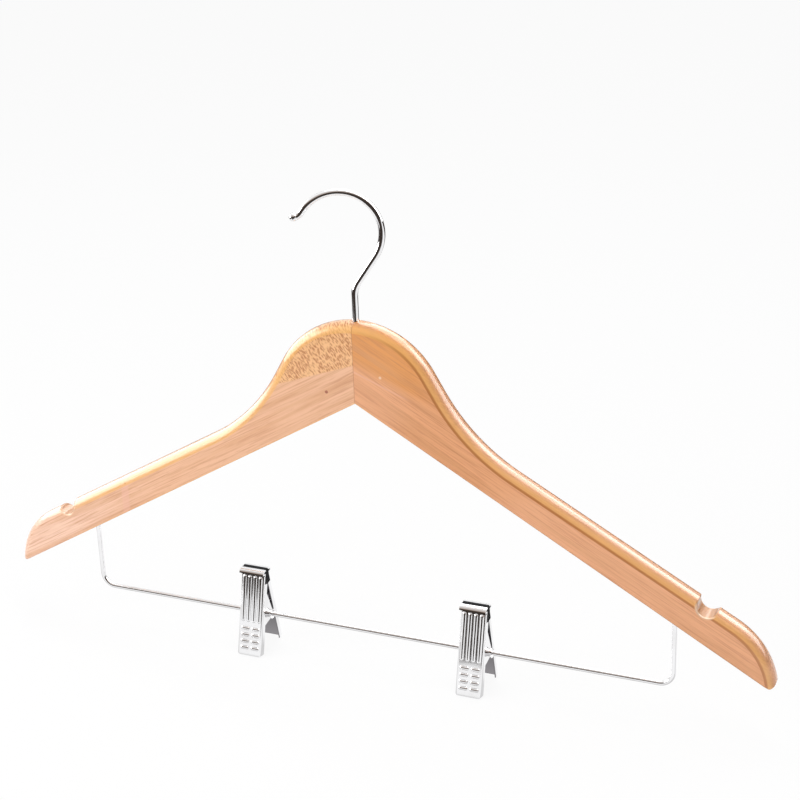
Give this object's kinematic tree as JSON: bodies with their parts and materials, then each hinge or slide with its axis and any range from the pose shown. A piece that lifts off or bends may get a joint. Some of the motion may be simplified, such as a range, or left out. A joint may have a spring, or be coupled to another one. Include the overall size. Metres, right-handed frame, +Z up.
{
  "type": "skirt hanger",
  "caption": "Flat wooden hanger with a swivel hook, a wire trouser bar and sprung metal clips that slide along the bar to hold a skirt.",
  "frame": {"origin": "on the hook's swivel axis, inside the hook where the rail bears", "axes": "+X along the span to the right seen from the front, +Y from front to back, +Z up"},
  "size_m": [0.4488, 0.0281, 0.2734],
  "materials": {
    "lacquered_wood": "clear gloss lacquer",
    "plain_wood": "unfinished",
    "chrome_wire": "bright plated",
    "chrome_sheet": "bright plated",
    "zinc_steel": "zinc plated",
    "spring_wire": "drawn wire",
    "black_pad": "satin"
  },
  "bodies": {
    "frame": {"left_arm": "lacquered_wood", "right_arm": "lacquered_wood", "joint_dowel": "plain_wood", "hook_bush": "zinc_steel", "trouser_bar": "chrome_wire"},
    "hook": {"hook": "chrome_wire"},
    "left_clip_tube": {"left_clip_pivot_tube": "chrome_wire"},
    "left_clip_front": {"left_clip_front_plate": "chrome_sheet", "left_clip_front_pad": "black_pad", "left_clip_spring": "spring_wire"},
    "left_clip_back": {"left_clip_back_plate": "chrome_sheet", "left_clip_back_pad": "black_pad"},
    "right_clip_tube": {"right_clip_pivot_tube": "chrome_wire"},
    "right_clip_front": {"right_clip_front_plate": "chrome_sheet", "right_clip_front_pad": "black_pad", "right_clip_spring": "spring_wire"},
    "right_clip_back": {"right_clip_back_plate": "chrome_sheet", "right_clip_back_pad": "black_pad"}
  },
  "joints": [
    {"name": "hook_swivel", "type": "hinge", "parent": "frame", "child": "hook", "pos_m": [0, 0, 0], "axis": [0, 0, 1], "continuous": true},
    {"name": "left_clip_slide", "type": "slide", "parent": "frame", "child": "left_clip_tube", "axis": [1, 0, 0], "range_m": [-0.084, 0.0595]},
    {"name": "left_clip_turn", "type": "hinge", "parent": "left_clip_tube", "child": "left_clip_front", "pos_m": [-0.0695, 0, -0.24687], "axis": [1, 0, 0], "continuous": true},
    {"name": "left_clip_squeeze", "type": "hinge", "parent": "left_clip_front", "child": "left_clip_back", "pos_m": [-0.0695, 0, -0.24687], "axis": [-1, 0, 0], "range_deg": [0, 40], "stiffness_Nm_per_rad": 0.25, "springref_deg": -45.84, "deforming": ["left_clip_spring"]},
    {"name": "right_clip_slide", "type": "slide", "parent": "frame", "child": "right_clip_tube", "axis": [1, 0, 0], "range_m": [-0.053, 0.091]},
    {"name": "right_clip_turn", "type": "hinge", "parent": "right_clip_tube", "child": "right_clip_front", "pos_m": [0.063, 0, -0.24687], "axis": [1, 0, 0], "continuous": true},
    {"name": "right_clip_squeeze", "type": "hinge", "parent": "right_clip_front", "child": "right_clip_back", "pos_m": [0.063, 0, -0.24687], "axis": [-1, 0, 0], "range_deg": [0, 40], "stiffness_Nm_per_rad": 0.25, "springref_deg": -45.84, "deforming": ["right_clip_spring"]}
  ]
}
